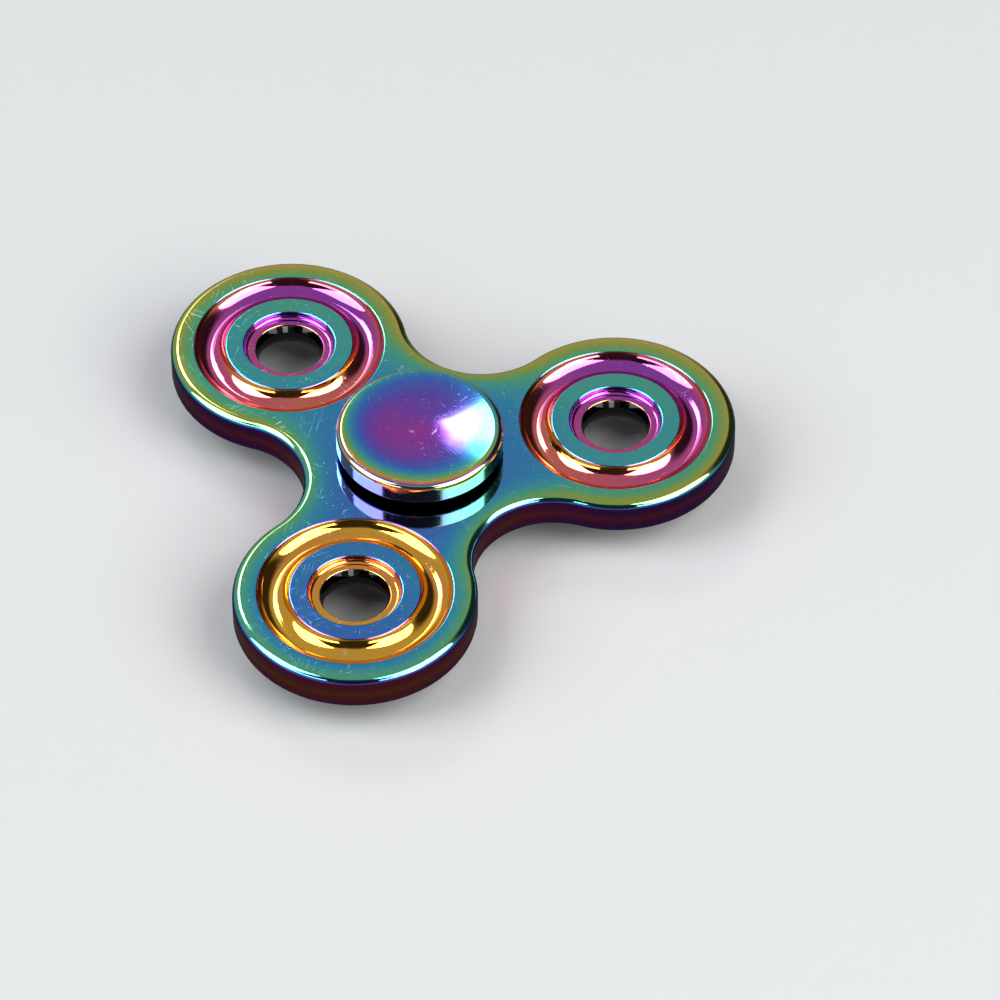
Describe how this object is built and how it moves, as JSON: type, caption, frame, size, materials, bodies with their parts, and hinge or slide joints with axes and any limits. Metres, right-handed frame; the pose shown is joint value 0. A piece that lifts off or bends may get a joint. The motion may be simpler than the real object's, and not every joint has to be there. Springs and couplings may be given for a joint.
{
  "type": "fidget spinner",
  "caption": "Three-lobed metal fidget spinner with a grooved ring and a through hole in each lobe, spinning on a ball bearing between two dished finger caps.",
  "frame": {"origin": "centre of the bearing, on the spin axis at half the body's thickness", "axes": "+Z along the spin axis towards the top finger cap, +X from the spin axis towards the centre of one lobe's hole"},
  "size_m": [0.0688, 0.0748, 0.013],
  "materials": {
    "body_plating": "mirror-polished, with an iridescent teal, blue, olive and magenta coating",
    "cap_plating": "mirror-polished, with an iridescent violet coating that turns teal, gold and magenta at the rim",
    "bearing_steel": "ground and polished bearing steel",
    "ball_steel": "mirror-polished steel balls",
    "cage_steel": "pressed steel ribbon, satin",
    "shield_steel": "pressed steel, satin",
    "snap_ring_steel": "drawn spring wire, bright"
  },
  "bodies": {
    "hub": {"finger_cap_top": "cap_plating", "finger_cap_bottom": "cap_plating", "inner_race": "bearing_steel"},
    "frame": {"tri_lobe_body": "body_plating", "outer_race": "bearing_steel", "shield_top": "shield_steel", "shield_bottom": "shield_steel", "snap_ring_top": "snap_ring_steel", "snap_ring_bottom": "snap_ring_steel"},
    "cage": {"cage_top_half": "cage_steel", "cage_bottom_half": "cage_steel", "cage_rivets": "cage_steel"},
    "ball_01": {"ball_01": "ball_steel"},
    "ball_02": {"ball_02": "ball_steel"},
    "ball_03": {"ball_03": "ball_steel"},
    "ball_04": {"ball_04": "ball_steel"},
    "ball_05": {"ball_05": "ball_steel"},
    "ball_06": {"ball_06": "ball_steel"},
    "ball_07": {"ball_07": "ball_steel"},
    "ball_08": {"ball_08": "ball_steel"},
    "ball_09": {"ball_09": "ball_steel"},
    "ball_10": {"ball_10": "ball_steel"}
  },
  "joints": [
    {"name": "frame_spin", "type": "hinge", "parent": "hub", "child": "frame", "pos_m": [0, 0, 0], "axis": [0, 0, 1], "continuous": true},
    {"name": "cage_spin", "type": "hinge", "parent": "hub", "child": "cage", "pos_m": [0, 0, 0], "axis": [0, 0, 1], "continuous": true},
    {"name": "ball_01_spin", "type": "hinge", "parent": "cage", "child": "ball_01", "pos_m": [0.00476, 0, 0], "axis": [0, 0, 1], "continuous": true},
    {"name": "ball_02_spin", "type": "hinge", "parent": "cage", "child": "ball_02", "pos_m": [0.00385, 0.0028, 0], "axis": [0, 0, 1], "continuous": true},
    {"name": "ball_03_spin", "type": "hinge", "parent": "cage", "child": "ball_03", "pos_m": [0.00147, 0.00453, 0], "axis": [0, 0, 1], "continuous": true},
    {"name": "ball_04_spin", "type": "hinge", "parent": "cage", "child": "ball_04", "pos_m": [-0.00147, 0.00453, 0], "axis": [0, 0, 1], "continuous": true},
    {"name": "ball_05_spin", "type": "hinge", "parent": "cage", "child": "ball_05", "pos_m": [-0.00385, 0.0028, 0], "axis": [0, 0, 1], "continuous": true},
    {"name": "ball_06_spin", "type": "hinge", "parent": "cage", "child": "ball_06", "pos_m": [-0.00476, 0, 0], "axis": [0, 0, 1], "continuous": true},
    {"name": "ball_07_spin", "type": "hinge", "parent": "cage", "child": "ball_07", "pos_m": [-0.00385, -0.0028, 0], "axis": [0, 0, 1], "continuous": true},
    {"name": "ball_08_spin", "type": "hinge", "parent": "cage", "child": "ball_08", "pos_m": [-0.00147, -0.00453, 0], "axis": [0, 0, 1], "continuous": true},
    {"name": "ball_09_spin", "type": "hinge", "parent": "cage", "child": "ball_09", "pos_m": [0.00147, -0.00453, 0], "axis": [0, 0, 1], "continuous": true},
    {"name": "ball_10_spin", "type": "hinge", "parent": "cage", "child": "ball_10", "pos_m": [0.00385, -0.0028, 0], "axis": [0, 0, 1], "continuous": true}
  ],
  "couplings": [
    {"joint": "cage_spin", "follows": "frame_spin", "ratio": 0.58336},
    {"joint": "ball_01_spin", "follows": "frame_spin", "ratio": 2.9157},
    {"joint": "ball_02_spin", "follows": "frame_spin", "ratio": 2.9157},
    {"joint": "ball_03_spin", "follows": "frame_spin", "ratio": 2.9157},
    {"joint": "ball_04_spin", "follows": "frame_spin", "ratio": 2.9157},
    {"joint": "ball_05_spin", "follows": "frame_spin", "ratio": 2.9157},
    {"joint": "ball_06_spin", "follows": "frame_spin", "ratio": 2.9157},
    {"joint": "ball_07_spin", "follows": "frame_spin", "ratio": 2.9157},
    {"joint": "ball_08_spin", "follows": "frame_spin", "ratio": 2.9157},
    {"joint": "ball_09_spin", "follows": "frame_spin", "ratio": 2.9157},
    {"joint": "ball_10_spin", "follows": "frame_spin", "ratio": 2.9157}
  ]
}
